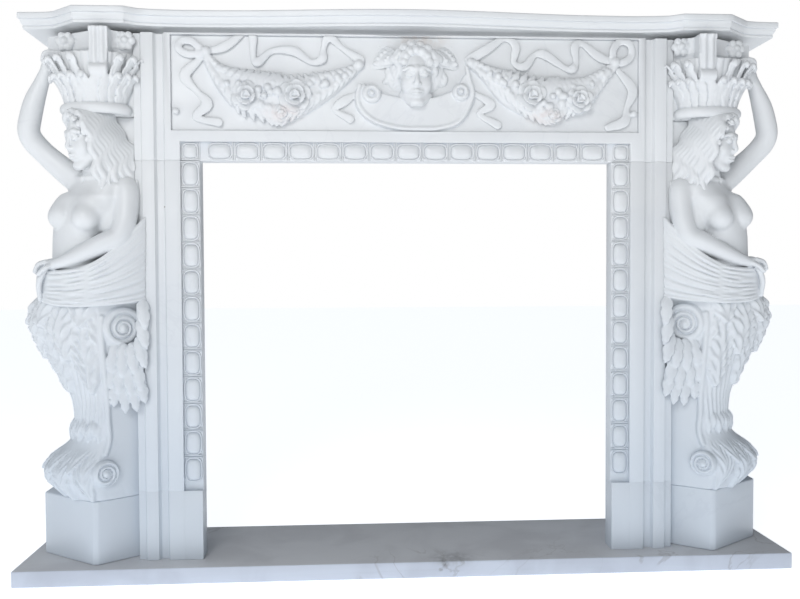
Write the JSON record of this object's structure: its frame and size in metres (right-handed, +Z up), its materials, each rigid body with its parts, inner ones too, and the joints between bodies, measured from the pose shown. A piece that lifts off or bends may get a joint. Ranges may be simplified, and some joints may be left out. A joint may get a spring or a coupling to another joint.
{
  "type": "fireplace mantel",
  "caption": "Carved marble chimneypiece on a hearth slab: a leafy console figure at each corner carries a moulded shelf over a frieze of swags and a mask.",
  "frame": {"origin": "middle of the hearth slab's underside", "axes": "+X to the right as seen from the room, +Y into the wall, +Z up"},
  "size_m": [1.8698, 0.304, 1.337],
  "materials": {
    "white_marble": "honed white marble with faint grey veins",
    "grey_marble": "honed grey-white marble, dusty on top"
  },
  "bodies": {
    "root": {"hearth_slab": "grey_marble", "plinth_right": "white_marble", "plinth_left": "white_marble", "leg_right": "white_marble", "leg_left": "white_marble", "figure_right": "white_marble", "figure_left": "white_marble", "frieze": "white_marble", "shelf": "white_marble"}
  },
  "joints": []
}
